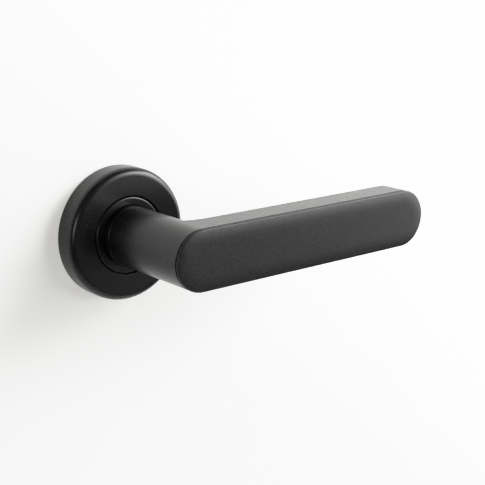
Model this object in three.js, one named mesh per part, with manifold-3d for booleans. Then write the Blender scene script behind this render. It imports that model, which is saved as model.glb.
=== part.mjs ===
// A lever handle on a round rose, one side of a door set, with everything that
// makes it turn, spring back and stay on the door.
//
// Millimetres. The origin is the point where the lever's turning axis meets the
// door's face. +X runs along the lever, -Y points out of the door towards the
// user, and +Z is up. The lever turns about the Y axis.

import * as THREE from 'three';
import { mergeVertices } from 'three/addons/utils/BufferGeometryUtils.js';
import Module from 'manifold-3d';

const wasm = await Module();
wasm.setup();

// ---------------------------------------------------------------------------
// Driving dimensions

const GAP = 0.3; // clearance between pieces that bear on each other
const WIDE_GAP = 0.4; // clearance round pieces that must not touch
const PAST = 1; // how far a cutting tool runs past what it cuts
const WELD = 1e-4; // corners nearer than this are one corner

const ROSE_R = 26; // outside radius of the rose cover
const ROSE_DEPTH = 9.6; // how far the rose stands off the door
const ROSE_WALL = 1.2;
const ROSE_FACE_WALL = 1.8;
const ROSE_EDGE_R = 3; // rounding between the rose's face and its rim
const ROSE_HOLE_R = 15.5;

const COLLAR_R = 15; // bearing collar that fills the rose's hole
const COLLAR_EDGE_R = 0.8;
const COLLAR_INSET = 0.2; // how far its face lies behind the rose's
const COLLAR_SPIGOT_R = 12.4; // its rear step, seated in the base plate
const NECK_RECESS = 1.4; // how deep the neck's end sits in the collar

const NECK_R = 11.6;
const LEVER_HALF_HEIGHT = 11.62; // the blade's half height and end radius
const LEVER_REACH = 102.8; // turning axis to the centre of the blade's free end
const BLADE_BACK_Y = -42.2;
const SEAM_Y = -54.4; // where the body meets the face plate
const SEAM_WIDTH = 0.6;
const PLATE_SIDE = 0.3; // straight part of the face plate's side, from the seam
const PLATE_EDGE_R = 0.6;
const PLATE_CROWN_WIDTH = 6.4; // shallow curve between the edge and the flat middle
const PLATE_CROWN_TILT = 12; // degrees, the crown's slope where the edge meets it
const NECK_FILLET_R = 3; // between the neck and the blade's back
const RING_LINE_Y = -12.4; // fine line turned round the foot of the neck
const RING_LINE_DEPTH = 0.2;

const JOURNAL_R = 9; // the neck's reduced end, which turns in the rose
const JOURNAL_FLAT_X = 8; // half the width across its two flats
const JOURNAL_END_Y = 3.2;
const CLIP_GROOVE_R = 8.1;
const CLIP_GROOVE_Y = 0.8;
const CLIP_THICKNESS = 1;

const BASE_R = 24;
const BASE_FRONT_Y = -7.4;
const BASE_BACK_Y = -1.5;
const BASE_WALL = 1.2; // in front of the spring chamber
const CHAMBER_R = 14.4;
const BACKING_THICKNESS = 1.2;

const TURN = THREE.MathUtils.degToRad(45); // the lever's travel
const EAR_MIDDLE = Math.PI; // middle of the driver ear's path, opposite the blade
const EAR_HALF = THREE.MathUtils.degToRad(9);
const EAR_R = 17;
const DRIVER_R = 13.6;
const DRIVER_THICKNESS = 0.8;
const STOP_PIN_R = 1;
const STOP_CIRCLE_R = 16;

const SPRING_R = 12.4; // mean radius of the flat-wire return spring
const SPRING_WIDTH = 2.1; // wire across the coil
const SPRING_HEIGHT = 0.95; // wire along the axis
const SPRING_PITCH = 1.2;
const SPRING_TURNS = 1.9;

const BOLT_SPACING = 38; // centre to centre of the two through bolts
const BOLT_R = 2; // M4
const BOLT_HEAD_R = 3.5;
const BOLT_HEAD_HEIGHT = 2.2;
const BOLT_END_Y = 30;
const SPIGOT_R = 3.6;
const SPIGOT_END_Y = 5;
const DOOR_THICKNESS = 40;
const SLEEVE_R = 3.2;
const SLEEVE_START_Y = 16;
const SLEEVE_HEAD_R = 5.5;
const SLEEVE_HEAD_HEIGHT = 2;

const RIVET_CIRCLE_R = 20.5;
const RIVET_R = 1.2;
const RIVET_HEAD_R = 2;
const RIVET_HEAD_HEIGHT = 0.5;
const RIVET_SINK = 0.2; // how far the heads sit below the base plate's face
const RIVET_END_Y = -0.1;
const RIVET_ANGLES = [30, 150, 210, 330].map(THREE.MathUtils.degToRad);

const SNAP_RING_Y = -3.6; // front face of the ring that holds the rose cover
const SNAP_RING_THICKNESS = 1;
const SNAP_RING_INNER_R = 23.3;
const SNAP_RING_OUTER_R = 24.9;

const SPINDLE = 8; // square bar across its flats
const SPINDLE_FRONT_Y = -33.7;
const SPINDLE_BACK_Y = 52;
const GRUB_R = 3; // M6
const GRUB_Y = -20;
const GRUB_LENGTH = 6;

const DOWEL_R = 1.5; // pins that locate the face plate
const DOWEL_X = [15, 88];
const DOWEL_FRONT_Y = -55.2;
const DOWEL_BACK_Y = -51;
const PAD_HALF_HEIGHT = 8.5; // bonding pad behind the face plate
const PAD_THICKNESS = 0.46;

// Facets round a full turn: on show, inside, and on pins and small holes.
const SHOWN = 48;
const INSIDE = 28;
const SMALL = 14;
const HALF_TURN = SHOWN / 4; // curve segments that give a half circle SHOWN's facets

// Places worked out from the dimensions above.
const ROSE_FACE_Y = -ROSE_DEPTH;
const ROSE_INNER_R = ROSE_R - ROSE_WALL;
const ROSE_INNER_Y = ROSE_FACE_Y + ROSE_FACE_WALL;
const COLLAR_FACE_Y = ROSE_FACE_Y + COLLAR_INSET;
const RECESS_Y = COLLAR_FACE_Y + NECK_RECESS;
const NECK_END_Y = RECESS_Y - GAP;
const COLLAR_FLANGE_Y = BASE_FRONT_Y - GAP;
const COLLAR_BACK_Y = BASE_FRONT_Y + BASE_WALL - GAP;
const CHAMBER_FRONT_Y = BASE_FRONT_Y + BASE_WALL;
const DRIVER_FRONT_Y = CHAMBER_FRONT_Y + GAP;
const DRIVER_BACK_Y = DRIVER_FRONT_Y + DRIVER_THICKNESS;
const SPRING_FRONT_Y = DRIVER_BACK_Y + GAP;
const EAR_AT_REST = EAR_MIDDLE + TURN / 2;
const STOP_REACH = TURN / 2 + EAR_HALF + (STOP_PIN_R + GAP) / STOP_CIRCLE_R;
const STOP_ANGLES = [EAR_MIDDLE + STOP_REACH, EAR_MIDDLE - STOP_REACH];
const BODY_FRONT_Y = SEAM_Y + SEAM_WIDTH / 2;
const PLATE_BACK_Y = SEAM_Y - SEAM_WIDTH / 2;
const BOLT_ZS = [BOLT_SPACING / 2, -BOLT_SPACING / 2];
const GROOVE_FRONT_Y = SNAP_RING_Y - GAP;
const GROOVE_BACK_Y = SNAP_RING_Y + SNAP_RING_THICKNESS + GAP;
const BORE_R = JOURNAL_R + GAP;

// ---------------------------------------------------------------------------
// Solids

// A closed geometry as a solid that can be joined and cut.
function solidOf(geometry) {
  const bare = geometry.clone();
  bare.deleteAttribute('normal');
  bare.deleteAttribute('uv');
  const welded = mergeVertices(bare, WELD);
  const corners = welded.index.array;
  const kept = [];
  for (let i = 0; i < corners.length; i += 3) {
    const [a, b, c] = corners.slice(i, i + 3);
    if (a !== b && b !== c && c !== a) kept.push(a, b, c);
  }
  return new wasm.Manifold(new wasm.Mesh({
    numProp: 3,
    vertProperties: new Float32Array(welded.attributes.position.array),
    triVerts: new Uint32Array(kept),
  }));
}

function geometryOf(solid) {
  const mesh = solid.getMesh();
  const geometry = new THREE.BufferGeometry();
  geometry.setAttribute('position', new THREE.BufferAttribute(mesh.vertProperties, 3));
  geometry.setIndex(new THREE.BufferAttribute(mesh.triVerts, 1));
  geometry.computeVertexNormals();
  return geometry;
}

// The first geometry joined with some others, less some others.
function carve(geometry, { add = [], cut = [] }) {
  let solid = solidOf(geometry);
  for (const extra of add) solid = solid.add(solidOf(extra));
  for (const tool of cut) solid = solid.subtract(solidOf(tool));
  return geometryOf(solid);
}

// A solid turned about the Y axis. The profile lists [radius, y] corners,
// from -Y outwards and round to +Y; one that leaves the axis closes on itself.
function turned(profile, facets) {
  const points = profile.map(([r, y]) => new THREE.Vector2(r, y));
  const onAxis = profile[0][0] === 0 && profile.at(-1)[0] === 0;
  if (!onAxis) points.push(points[0].clone());
  return new THREE.LatheGeometry(points, facets);
}

// Corners of a rounded edge from one angle to another, in degrees.
function edge(r, y, radius, from, to, steps) {
  const corners = [];
  for (let i = 0; i <= steps; i += 1) {
    const angle = THREE.MathUtils.degToRad(from + ((to - from) * i) / steps);
    corners.push([r + radius * Math.cos(angle), y + radius * Math.sin(angle)]);
  }
  return corners;
}

// A round bar along Y.
function bar(radius, frontY, backY, facets, x = 0, z = 0) {
  const geometry = turned([[0, frontY], [radius, frontY], [radius, backY], [0, backY]], facets);
  return geometry.translate(x, 0, z);
}

// An outline in the XZ plane given a thickness along Y.
function sheet(outline, frontY, backY, curveSegments) {
  const depth = backY - frontY;
  const geometry = new THREE.ExtrudeGeometry(outline, { depth, bevelEnabled: false, curveSegments });
  return geometry.rotateX(Math.PI / 2).translate(0, backY, 0);
}

function block(sizeX, sizeY, sizeZ, x, y, z) {
  return new THREE.BoxGeometry(sizeX, sizeY, sizeZ).translate(x, y, z);
}

// The blade's outline: two half circles joined by straight edges.
function stadium(radius) {
  const outline = new THREE.Shape();
  outline.absarc(0, 0, radius, Math.PI / 2, (3 * Math.PI) / 2, false);
  outline.absarc(LEVER_REACH, 0, radius, -Math.PI / 2, Math.PI / 2, false);
  outline.closePath();
  return outline;
}

// A solid skinned over the blade's outline at several places. The section lists
// [outline radius, y] corners from +Y to -Y.
function skinned(section) {
  const rings = section.map(([radius, y]) => (
    stadium(radius).getPoints(HALF_TURN).slice(0, -1).map((point) => [point.x, y, point.y])
  ));
  const count = rings[0].length;
  const last = (rings.length - 1) * count;
  const faces = [];
  for (let near = 0; near < last; near += count) {
    const far = near + count;
    for (let i = 0; i < count; i += 1) {
      const next = (i + 1) % count;
      faces.push(near + i, near + next, far + next);
      faces.push(near + i, far + next, far + i);
    }
  }
  for (let i = 1; i + 1 < count; i += 1) {
    faces.push(0, i + 1, i);
    faces.push(last, last + i, last + i + 1);
  }
  const geometry = new THREE.BufferGeometry();
  geometry.setAttribute('position', new THREE.Float32BufferAttribute(rings.flat(2), 3));
  geometry.setIndex(faces);
  return geometry;
}

// A part of a ring between two angles, measured from +X towards +Z.
function sector(innerR, outerR, from, to) {
  const outline = new THREE.Shape();
  outline.absarc(0, 0, outerR, from, to, false);
  outline.absarc(0, 0, innerR, to, from, true);
  outline.closePath();
  return outline;
}

function onCircle(radius, angle) {
  return [radius * Math.cos(angle), radius * Math.sin(angle)];
}

// A six-sided socket for a key, along Y.
function hexSocket(acrossFlats, frontY, depth) {
  const radius = acrossFlats / Math.sqrt(3);
  return new THREE.CylinderGeometry(radius, radius, depth, 6).translate(0, frontY + depth / 2, 0);
}

function piece(name, geometry, color, roughness, metalness) {
  const material = new THREE.MeshStandardMaterial({ color, roughness, metalness });
  const mesh = new THREE.Mesh(geometry, material);
  mesh.name = name;
  return mesh;
}

const blackCoat = (name, geometry) => piece(name, geometry, 0x1c1c1d, 0.5, 0.1);
const blackNylon = (name, geometry) => piece(name, geometry, 0x202022, 0.6, 0);
const zincPlate = (name, geometry) => piece(name, geometry, 0xb9bcc0, 0.35, 0.9);
const springSteel = (name, geometry) => piece(name, geometry, 0x5b5f66, 0.4, 0.9);

// ---------------------------------------------------------------------------
// The rose, which stays on the door

function roseCover() {
  const chamfer = 0.3;
  const innerEdgeR = ROSE_EDGE_R - ROSE_WALL;
  return blackCoat('rose_cover', turned([
    [ROSE_HOLE_R, ROSE_INNER_Y],
    [ROSE_HOLE_R, ROSE_FACE_Y + chamfer],
    [ROSE_HOLE_R + chamfer, ROSE_FACE_Y],
    ...edge(ROSE_R - ROSE_EDGE_R, ROSE_FACE_Y + ROSE_EDGE_R, ROSE_EDGE_R, -90, 0, 6),
    [ROSE_R, 0],
    [ROSE_INNER_R, 0],
    [ROSE_INNER_R, GROOVE_BACK_Y],
    [SNAP_RING_OUTER_R + GAP, GROOVE_BACK_Y],
    [SNAP_RING_OUTER_R + GAP, GROOVE_FRONT_Y],
    [ROSE_INNER_R, GROOVE_FRONT_Y],
    ...edge(ROSE_INNER_R - innerEdgeR, ROSE_INNER_Y + innerEdgeR, innerEdgeR, 0, -90, 3),
  ], SHOWN));
}

function bearingCollar() {
  const recessR = NECK_R + WIDE_GAP;
  const rimMiddleY = COLLAR_FACE_Y + COLLAR_EDGE_R;
  return blackNylon('bearing_collar', turned([
    [BORE_R, RECESS_Y],
    [recessR, RECESS_Y],
    [recessR, COLLAR_FACE_Y],
    ...edge(COLLAR_R - COLLAR_EDGE_R, rimMiddleY, COLLAR_EDGE_R, -90, 0, 2),
    [COLLAR_R, COLLAR_FLANGE_Y],
    [COLLAR_SPIGOT_R, COLLAR_FLANGE_Y],
    [COLLAR_SPIGOT_R, COLLAR_BACK_Y],
    [BORE_R, COLLAR_BACK_Y],
  ], SHOWN));
}

// The moulded plate behind the cover. Its chamber holds the return spring, and
// the window beside the chamber lets the driver's ear swing between its stops.
function basePlate() {
  const chamfer = 0.8; // clears the rounding inside the cover
  const boltHoleR = BOLT_R + GAP;
  const headPocketR = BOLT_HEAD_R + GAP;
  const headPocketY = BASE_FRONT_Y + BOLT_HEAD_HEIGHT + 2 * GAP;
  const rivetPocketY = BASE_FRONT_Y + RIVET_SINK + RIVET_HEAD_HEIGHT + GAP;
  const pastFrontY = BASE_FRONT_Y - PAST;
  const pastBackY = SPIGOT_END_Y + PAST;
  const windowHalf = STOP_REACH + (STOP_PIN_R + GAP) / STOP_CIRCLE_R;
  const windowOuterR = EAR_R + WIDE_GAP;
  const grooveR = SNAP_RING_INNER_R - WIDE_GAP;
  const slotDepth = 1.6;

  const disc = turned([
    [COLLAR_SPIGOT_R + GAP, BASE_FRONT_Y],
    [BASE_R - chamfer, BASE_FRONT_Y],
    [BASE_R, BASE_FRONT_Y + chamfer],
    [BASE_R, GROOVE_FRONT_Y],
    [grooveR, GROOVE_FRONT_Y],
    [grooveR, GROOVE_BACK_Y],
    [BASE_R, GROOVE_BACK_Y],
    [BASE_R, BASE_BACK_Y],
    [CHAMBER_R, BASE_BACK_Y],
    [CHAMBER_R, CHAMBER_FRONT_Y],
    [COLLAR_SPIGOT_R + GAP, CHAMBER_FRONT_Y],
  ], SHOWN);
  const spigots = BOLT_ZS.map((z) => bar(SPIGOT_R, BASE_BACK_Y - PAST, SPIGOT_END_Y, INSIDE, 0, z));
  const windowOutline = sector(
    CHAMBER_R - PAST, windowOuterR, EAR_MIDDLE - windowHalf, EAR_MIDDLE + windowHalf,
  );
  const earWindow = sheet(windowOutline, CHAMBER_FRONT_Y, BASE_BACK_Y + PAST, 5);
  const slotWidth = SPRING_WIDTH + 2 * GAP;
  const slotLength = windowOuterR - CHAMBER_R + PAST;
  const slotX = CHAMBER_R - PAST + slotLength / 2;
  const slotY = BASE_BACK_Y - slotDepth + (slotDepth + PAST) / 2;
  const springSlot = block(slotLength, slotDepth + PAST, slotWidth, slotX, slotY, 0);
  const boltCuts = BOLT_ZS.flatMap((z) => [
    bar(boltHoleR, pastFrontY, pastBackY, INSIDE, 0, z),
    bar(headPocketR, pastFrontY, headPocketY, INSIDE, 0, z),
  ]);
  const rivetCuts = RIVET_ANGLES.flatMap((angle) => {
    const [x, z] = onCircle(RIVET_CIRCLE_R, angle);
    return [
      bar(RIVET_R + GAP, pastFrontY, 0, SMALL, x, z),
      bar(RIVET_HEAD_R + GAP, pastFrontY, rivetPocketY, SMALL, x, z),
    ];
  });
  const pinCuts = STOP_ANGLES.map((angle) => {
    const [x, z] = onCircle(STOP_CIRCLE_R, angle);
    return bar(STOP_PIN_R + GAP, pastFrontY, CHAMBER_FRONT_Y + PAST, SMALL, x, z);
  });
  const cuts = [earWindow, springSlot, ...boltCuts, ...rivetCuts, ...pinCuts];
  return blackNylon('base_plate', carve(disc, { add: spigots, cut: cuts }));
}

// The steel plate that closes the chamber and lies on the door.
function backingPlate() {
  const frontY = -BACKING_THICKNESS;
  const disc = turned([[BORE_R, frontY], [BASE_R, frontY], [BASE_R, 0], [BORE_R, 0]], SHOWN);
  const spigotHoles = BOLT_ZS.map((z) => bar(SPIGOT_R + GAP, frontY - PAST, PAST, INSIDE, 0, z));
  const rivetHoles = RIVET_ANGLES.map((angle) => {
    const [x, z] = onCircle(RIVET_CIRCLE_R, angle);
    return bar(RIVET_R + GAP, frontY - PAST, PAST, SMALL, x, z);
  });
  return zincPlate('backing_plate', carve(disc, { cut: [...spigotHoles, ...rivetHoles] }));
}

function plateRivet(angle, index) {
  const headY = BASE_FRONT_Y + RIVET_SINK;
  const [x, z] = onCircle(RIVET_CIRCLE_R, angle);
  const profile = [
    [0, headY],
    [RIVET_HEAD_R, headY],
    [RIVET_HEAD_R, headY + RIVET_HEAD_HEIGHT],
    [RIVET_R, headY + RIVET_HEAD_HEIGHT],
    [RIVET_R, RIVET_END_Y],
    [0, RIVET_END_Y],
  ];
  return zincPlate(`plate_rivet_${index + 1}`, turned(profile, SMALL).translate(x, 0, z));
}

function stopPin(name, angle) {
  const [x, z] = onCircle(STOP_CIRCLE_R, angle);
  return zincPlate(name, bar(STOP_PIN_R, BASE_FRONT_Y + GAP, BASE_BACK_Y - GAP, SMALL, x, z));
}

function coverSnapRing() {
  const halfGap = THREE.MathUtils.degToRad(8);
  const outline = sector(SNAP_RING_INNER_R, SNAP_RING_OUTER_R, halfGap, 2 * Math.PI - halfGap);
  return springSteel('cover_snap_ring', sheet(outline, SNAP_RING_Y, SNAP_RING_Y + SNAP_RING_THICKNESS, 20));
}

// A straight flat wire bent into a coil, with a tang that reaches out into the
// base plate's slot. The coil winds up when the lever is pressed down.
function returnSpring() {
  const wireLength = 2 * Math.PI * SPRING_R * SPRING_TURNS;
  const backY = SPRING_FRONT_Y + SPRING_PITCH * SPRING_TURNS + SPRING_HEIGHT / 2;
  const coil = new THREE.BoxGeometry(SPRING_WIDTH, SPRING_HEIGHT, wireLength, 1, 1, 68);
  const corners = coil.attributes.position;
  for (let i = 0; i < corners.count; i += 1) {
    const radius = SPRING_R + corners.getX(i);
    const along = 0.5 - corners.getZ(i) / wireLength;
    const angle = -2 * Math.PI * SPRING_TURNS * along;
    const y = backY - SPRING_PITCH * SPRING_TURNS * along + corners.getY(i);
    corners.setXYZ(i, radius * Math.cos(angle), y, radius * Math.sin(angle));
  }
  const tangLength = EAR_R - SPRING_R;
  const tang = block(tangLength, SPRING_HEIGHT, SPRING_WIDTH, SPRING_R + tangLength / 2, backY, 0);
  return springSteel('return_spring', carve(coil, { add: [tang] }));
}

function fixingBolt(name, z) {
  const headY = BASE_FRONT_Y + GAP;
  const dome = 0.5;
  const chamfer = 0.5;
  const keySize = 2.5;
  const keyDepth = 1.4;
  const blank = turned([
    [0, headY],
    [BOLT_HEAD_R - dome, headY],
    [BOLT_HEAD_R, headY + dome],
    [BOLT_HEAD_R, headY + BOLT_HEAD_HEIGHT],
    [BOLT_R, headY + BOLT_HEAD_HEIGHT],
    [BOLT_R, BOLT_END_Y - chamfer],
    [BOLT_R - chamfer, BOLT_END_Y],
    [0, BOLT_END_Y],
  ], INSIDE);
  const drive = hexSocket(keySize, headY - PAST, keyDepth + PAST);
  return zincPlate(name, carve(blank, { cut: [drive] }).translate(0, 0, z));
}

// The sleeve nut that each bolt screws into from the far side of the door.
function sleeveNut(name, z) {
  const headBackY = DOOR_THICKNESS + SLEEVE_HEAD_HEIGHT;
  const boreR = BOLT_R + GAP;
  const boreEndY = DOOR_THICKNESS - 2;
  const edgeR = 0.7;
  const slotWidth = 1.2;
  const slotDepth = 0.9;
  const blank = turned([
    [0, boreEndY],
    [boreR, boreEndY],
    [boreR, SLEEVE_START_Y],
    [SLEEVE_R, SLEEVE_START_Y],
    [SLEEVE_R, DOOR_THICKNESS],
    [SLEEVE_HEAD_R, DOOR_THICKNESS],
    ...edge(SLEEVE_HEAD_R - edgeR, headBackY - edgeR, edgeR, 0, 90, 3),
    [0, headBackY],
  ], INSIDE);
  const slotY = headBackY - slotDepth + (slotDepth + PAST) / 2;
  const slot = block(3 * SLEEVE_HEAD_R, slotDepth + PAST, slotWidth, 0, slotY, 0);
  return zincPlate(name, carve(blank, { cut: [slot] }).translate(0, 0, z));
}

// ---------------------------------------------------------------------------
// The lever, which turns

function leverBody() {
  const chamfer = 0.3;
  const rootY = BLADE_BACK_Y - PAST;
  const clipGrooveEndY = CLIP_GROOVE_Y + CLIP_THICKNESS + 2 * GAP;
  const neck = turned([
    [0, rootY],
    [NECK_R, rootY],
    [NECK_R, RING_LINE_Y - RING_LINE_DEPTH],
    [NECK_R - RING_LINE_DEPTH, RING_LINE_Y],
    [NECK_R, RING_LINE_Y + RING_LINE_DEPTH],
    [NECK_R, NECK_END_Y - chamfer],
    [NECK_R - chamfer, NECK_END_Y],
    [JOURNAL_R, NECK_END_Y],
    [JOURNAL_R, CLIP_GROOVE_Y],
    [CLIP_GROOVE_R, CLIP_GROOVE_Y],
    [CLIP_GROOVE_R, clipGrooveEndY],
    [JOURNAL_R, clipGrooveEndY],
    [JOURNAL_R, JOURNAL_END_Y - chamfer],
    [JOURNAL_R - chamfer, JOURNAL_END_Y],
    [0, JOURNAL_END_Y],
  ], SHOWN);
  const blade = sheet(stadium(LEVER_HALF_HEIGHT), BODY_FRONT_Y, BLADE_BACK_Y, HALF_TURN);

  // The fillet is a turned flare kept only where the blade lies behind it.
  const flareR = NECK_R + NECK_FILLET_R;
  const flare = turned([
    [0, rootY],
    [flareR, rootY],
    ...edge(flareR, BLADE_BACK_Y + NECK_FILLET_R, NECK_FILLET_R, 270, 180, 4),
    [0, BLADE_BACK_Y + NECK_FILLET_R],
  ], SHOWN);
  const footprint = sheet(
    stadium(LEVER_HALF_HEIGHT), rootY - PAST, BLADE_BACK_Y + NECK_FILLET_R + PAST, HALF_TURN,
  );
  const fillet = geometryOf(solidOf(flare).intersect(solidOf(footprint)));

  const socket = SPINDLE + 2 * GAP;
  const socketY = SPINDLE_FRONT_Y - GAP;
  const socketDepth = JOURNAL_END_Y + PAST - socketY;
  const spindleSocket = block(socket, socketDepth, socket, 0, socketY + socketDepth / 2, 0);
  const flatDepth = JOURNAL_R;
  const flatLength = JOURNAL_END_Y + PAST - CHAMBER_FRONT_Y;
  const flatY = CHAMBER_FRONT_Y + flatLength / 2;
  const flats = [1, -1].map((side) => (
    block(flatDepth, flatLength, 3 * JOURNAL_R, side * (JOURNAL_FLAT_X + flatDepth / 2), flatY, 0)
  ));
  const grubHole = bar(GRUB_R + GAP, 0, NECK_R + PAST, INSIDE)
    .rotateX(-Math.PI / 2)
    .translate(0, GRUB_Y, 0);
  const padPocket = sheet(
    stadium(PAD_HALF_HEIGHT + GAP), BODY_FRONT_Y - PAST, PLATE_BACK_Y + PAD_THICKNESS + 2 * GAP, 7,
  );
  const dowelHoles = DOWEL_X.map((x) => (
    bar(DOWEL_R + GAP, BODY_FRONT_Y - PAST, DOWEL_BACK_Y + GAP, SMALL, x)
  ));
  return blackCoat('lever_body', carve(neck, {
    add: [blade, fillet],
    cut: [spindleSocket, ...flats, grubHole, padPocket, ...dowelHoles],
  }));
}

// The plate on the blade's front: a straight side, a small rounded edge, then a
// shallow crown whose slope dies away towards the flat middle.
function facePlate() {
  const edgeMiddleR = LEVER_HALF_HEIGHT - PLATE_EDGE_R;
  const edgeMiddleY = PLATE_BACK_Y - PLATE_SIDE;
  const tilt = THREE.MathUtils.degToRad(PLATE_CROWN_TILT);
  const crownR = edgeMiddleR + PLATE_EDGE_R * Math.sin(tilt);
  const crownY = edgeMiddleY - PLATE_EDGE_R * Math.cos(tilt);
  const rise = (PLATE_CROWN_WIDTH * Math.tan(tilt)) / 3;
  const crown = [0.2, 0.4, 0.65, 1].map((share) => [
    crownR - PLATE_CROWN_WIDTH * share,
    crownY - rise * (1 - (1 - share) ** 3),
  ]);
  const plate = skinned([
    [LEVER_HALF_HEIGHT, PLATE_BACK_Y],
    ...edge(edgeMiddleR, edgeMiddleY, PLATE_EDGE_R, 0, PLATE_CROWN_TILT - 90, 3),
    ...crown,
  ]);
  const dowelHoles = DOWEL_X.map((x) => (
    bar(DOWEL_R + GAP, DOWEL_FRONT_Y - GAP, PLATE_BACK_Y + PAST, SMALL, x)
  ));
  return blackCoat('face_plate', carve(plate, { cut: dowelHoles }));
}

function bondingPad() {
  const outline = stadium(PAD_HALF_HEIGHT);
  DOWEL_X.forEach((x) => {
    const hole = new THREE.Path();
    hole.absarc(x, 0, DOWEL_R + GAP, 0, 2 * Math.PI, true);
    outline.holes.push(hole);
  });
  const frontY = PLATE_BACK_Y + GAP;
  return piece('bonding_pad', sheet(outline, frontY, frontY + PAD_THICKNESS, 7), 0x2b2b2b, 0.9, 0);
}

function locatingDowel(name, x) {
  return zincPlate(name, bar(DOWEL_R, DOWEL_FRONT_Y, DOWEL_BACK_Y, SMALL, x));
}

function spindle() {
  const half = SPINDLE / 2;
  const corner = 0.5;
  const outline = new THREE.Shape();
  outline.moveTo(half, corner - half);
  outline.lineTo(half, half - corner);
  outline.lineTo(half - corner, half);
  outline.lineTo(corner - half, half);
  outline.lineTo(-half, half - corner);
  outline.lineTo(-half, corner - half);
  outline.lineTo(corner - half, -half);
  outline.lineTo(half - corner, -half);
  outline.closePath();
  return zincPlate('spindle', sheet(outline, SPINDLE_FRONT_Y, SPINDLE_BACK_Y, 1));
}

// The disc that carries the lever's turn to the spring and to the stop pins.
function springDriver() {
  const disc = turned([
    [BORE_R, DRIVER_FRONT_Y],
    [DRIVER_R, DRIVER_FRONT_Y],
    [DRIVER_R, DRIVER_BACK_Y],
    [BORE_R, DRIVER_BACK_Y],
  ], INSIDE);
  const earOutline = sector(DRIVER_R - PAST, EAR_R, EAR_AT_REST - EAR_HALF, EAR_AT_REST + EAR_HALF);
  const ear = sheet(earOutline, DRIVER_FRONT_Y, DRIVER_BACK_Y, 2);

  // Two flats in the disc's hole that fit the journal's flats.
  const flatX = JOURNAL_FLAT_X + GAP;
  const flatDepth = BORE_R - flatX + PAST / 2;
  const flatLength = 2 * Math.sqrt(BORE_R ** 2 - flatX ** 2) + PAST;
  const middleY = (DRIVER_FRONT_Y + DRIVER_BACK_Y) / 2;
  const flats = [1, -1].map((side) => (
    block(flatDepth, DRIVER_THICKNESS, flatLength, side * (flatX + flatDepth / 2), middleY, 0)
  ));

  // A notch for the spring's moving end.
  const notchSize = SPRING_WIDTH + 2 * GAP;
  const notch = block(notchSize, 3 * DRIVER_THICKNESS, SPRING_HEIGHT + 2 * GAP, 0, DRIVER_BACK_Y, 0)
    .translate(SPRING_R, 0, 0)
    .rotateY(2 * Math.PI * SPRING_TURNS);
  return zincPlate('spring_driver', carve(disc, { add: [ear, ...flats], cut: [notch] }));
}

function thrustWasher() {
  const outerR = 11.8;
  const backY = CLIP_GROOVE_Y;
  return piece('thrust_washer', turned([
    [BORE_R, GAP],
    [outerR, GAP],
    [outerR, backY],
    [BORE_R, backY],
  ], INSIDE), 0xd8d5cc, 0.5, 0);
}

function circlip() {
  const frontY = CLIP_GROOVE_Y + GAP;
  const backY = frontY + CLIP_THICKNESS;
  const innerR = CLIP_GROOVE_R + GAP;
  const bandR = 10.2;
  const lugR = 11.2;
  const eyeR = 0.7;
  const halfGap = THREE.MathUtils.degToRad(18);
  const lugSpan = THREE.MathUtils.degToRad(16);
  const opening = -Math.PI / 2;
  const band = sheet(
    sector(innerR, bandR, opening + halfGap, opening + 2 * Math.PI - halfGap), frontY, backY, HALF_TURN,
  );
  const lugs = [1, -1].map((side) => {
    const near = opening + side * halfGap;
    const far = opening + side * (halfGap + lugSpan);
    return sheet(sector(innerR, lugR, Math.min(near, far), Math.max(near, far)), frontY, backY, 2);
  });
  const eyes = [1, -1].map((side) => {
    const [x, z] = onCircle((innerR + lugR) / 2, opening + side * (halfGap + lugSpan / 2));
    return bar(eyeR, frontY - PAST, backY + PAST, SMALL, x, z);
  });
  return springSteel('circlip', carve(band, { add: lugs, cut: eyes }));
}

function grubScrew() {
  const tipZ = -SPINDLE / 2 - GAP;
  const chamfer = 0.6;
  const keySize = 3;
  const keyDepth = 3;
  const blank = turned([
    [0, 0],
    [GRUB_R - 2 * chamfer, 0],
    [GRUB_R, 2 * chamfer],
    [GRUB_R, GRUB_LENGTH - chamfer],
    [GRUB_R - chamfer, GRUB_LENGTH],
    [0, GRUB_LENGTH],
  ], INSIDE);
  const drive = hexSocket(keySize, GRUB_LENGTH - keyDepth, keyDepth + PAST);
  const screw = carve(blank, { cut: [drive] }).rotateX(-Math.PI / 2).translate(0, GRUB_Y, tipZ);
  return springSteel('grub_screw', screw);
}

// ---------------------------------------------------------------------------
// Assembly

const rose = new THREE.Group();
rose.add(
  roseCover(),
  bearingCollar(),
  basePlate(),
  backingPlate(),
  ...RIVET_ANGLES.map(plateRivet),
  stopPin('stop_pin_level', STOP_ANGLES[0]),
  stopPin('stop_pin_pressed', STOP_ANGLES[1]),
  coverSnapRing(),
  returnSpring(),
  fixingBolt('fixing_bolt_upper', BOLT_ZS[0]),
  fixingBolt('fixing_bolt_lower', BOLT_ZS[1]),
  sleeveNut('sleeve_nut_upper', BOLT_ZS[0]),
  sleeveNut('sleeve_nut_lower', BOLT_ZS[1]),
);

const lever = new THREE.Group();
lever.add(
  leverBody(),
  facePlate(),
  bondingPad(),
  locatingDowel('locating_dowel_inner', DOWEL_X[0]),
  locatingDowel('locating_dowel_outer', DOWEL_X[1]),
  spindle(),
  springDriver(),
  thrustWasher(),
  circlip(),
  grubScrew(),
);

const handle = new THREE.Group();
handle.add(rose, lever);

export default handle;
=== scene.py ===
"""A black lever handle on a round rose, with its spindle, through bolts and spring.

The CAD frame gives every place and size. Shapes are drawn in millimetres in the
row frame: +X along the lever, -Y out of the door, +Z up, turning axis along Y.
"""

import math

import bmesh
import bpy
import numpy as np
from mathutils import Matrix, Vector


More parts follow.
